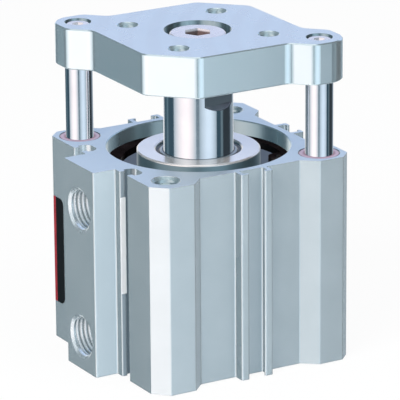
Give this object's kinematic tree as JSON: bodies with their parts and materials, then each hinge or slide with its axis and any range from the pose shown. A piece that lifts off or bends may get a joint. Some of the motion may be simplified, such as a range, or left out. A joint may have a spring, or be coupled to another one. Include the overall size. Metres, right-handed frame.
{
  "type": "guided pneumatic cylinder",
  "caption": "Compact air cylinder with twin guide rods that stop its square tooling plate from turning.",
  "frame": {"origin": "centre of the body's bottom face, on the piston rod's axis", "axes": "+Z along the piston rod, towards the plate; the two air ports face -X"},
  "size_m": [0.071, 0.064, 0.095],
  "materials": {
    "body_aluminium": "satin anodised",
    "plate_aluminium": "satin anodised",
    "cover_aluminium": "turned, chromated",
    "piston_aluminium": "turned, chromated",
    "hard_chrome": "hard chrome, ground and polished",
    "ring_steel": "black phosphate",
    "screw_steel": "nickel plated",
    "sintered_bush": "oil filled sintered bronze",
    "magnet": "plastic bonded magnet",
    "seal_rubber": "nitrile rubber",
    "wear_resin": "filled resin",
    "bumper_urethane": "polyurethane",
    "label_black": "satin film with a red edge",
    "label_white": "matt film"
  },
  "bodies": {
    "barrel": {"cylinder_tube": "body_aluminium", "rod_cover": "cover_aluminium", "rod_bush": "sintered_bush", "rod_seal": "seal_rubber", "cover_gasket": "seal_rubber", "retaining_ring": "ring_steel", "upper_guide_bush_left": "sintered_bush", "lower_guide_bush_left": "sintered_bush", "upper_guide_bush_right": "sintered_bush", "lower_guide_bush_right": "sintered_bush", "name_plate": "label_black", "slot_label": "label_white"},
    "carriage": {"piston": "piston_aluminium", "piston_seal": "seal_rubber", "piston_magnet": "magnet", "wear_ring": "wear_resin", "head_bumper": "bumper_urethane", "rod_bumper": "bumper_urethane", "piston_gasket": "seal_rubber", "piston_rod": "hard_chrome", "guide_rod_left": "hard_chrome", "guide_rod_right": "hard_chrome", "plate": "plate_aluminium", "plate_screw": "screw_steel", "guide_rod_screws": "screw_steel"}
  },
  "joints": [
    {"name": "plate_slide", "type": "slide", "parent": "barrel", "child": "carriage", "axis": [0, 0, 1], "range_m": [-0.02, 0]}
  ]
}
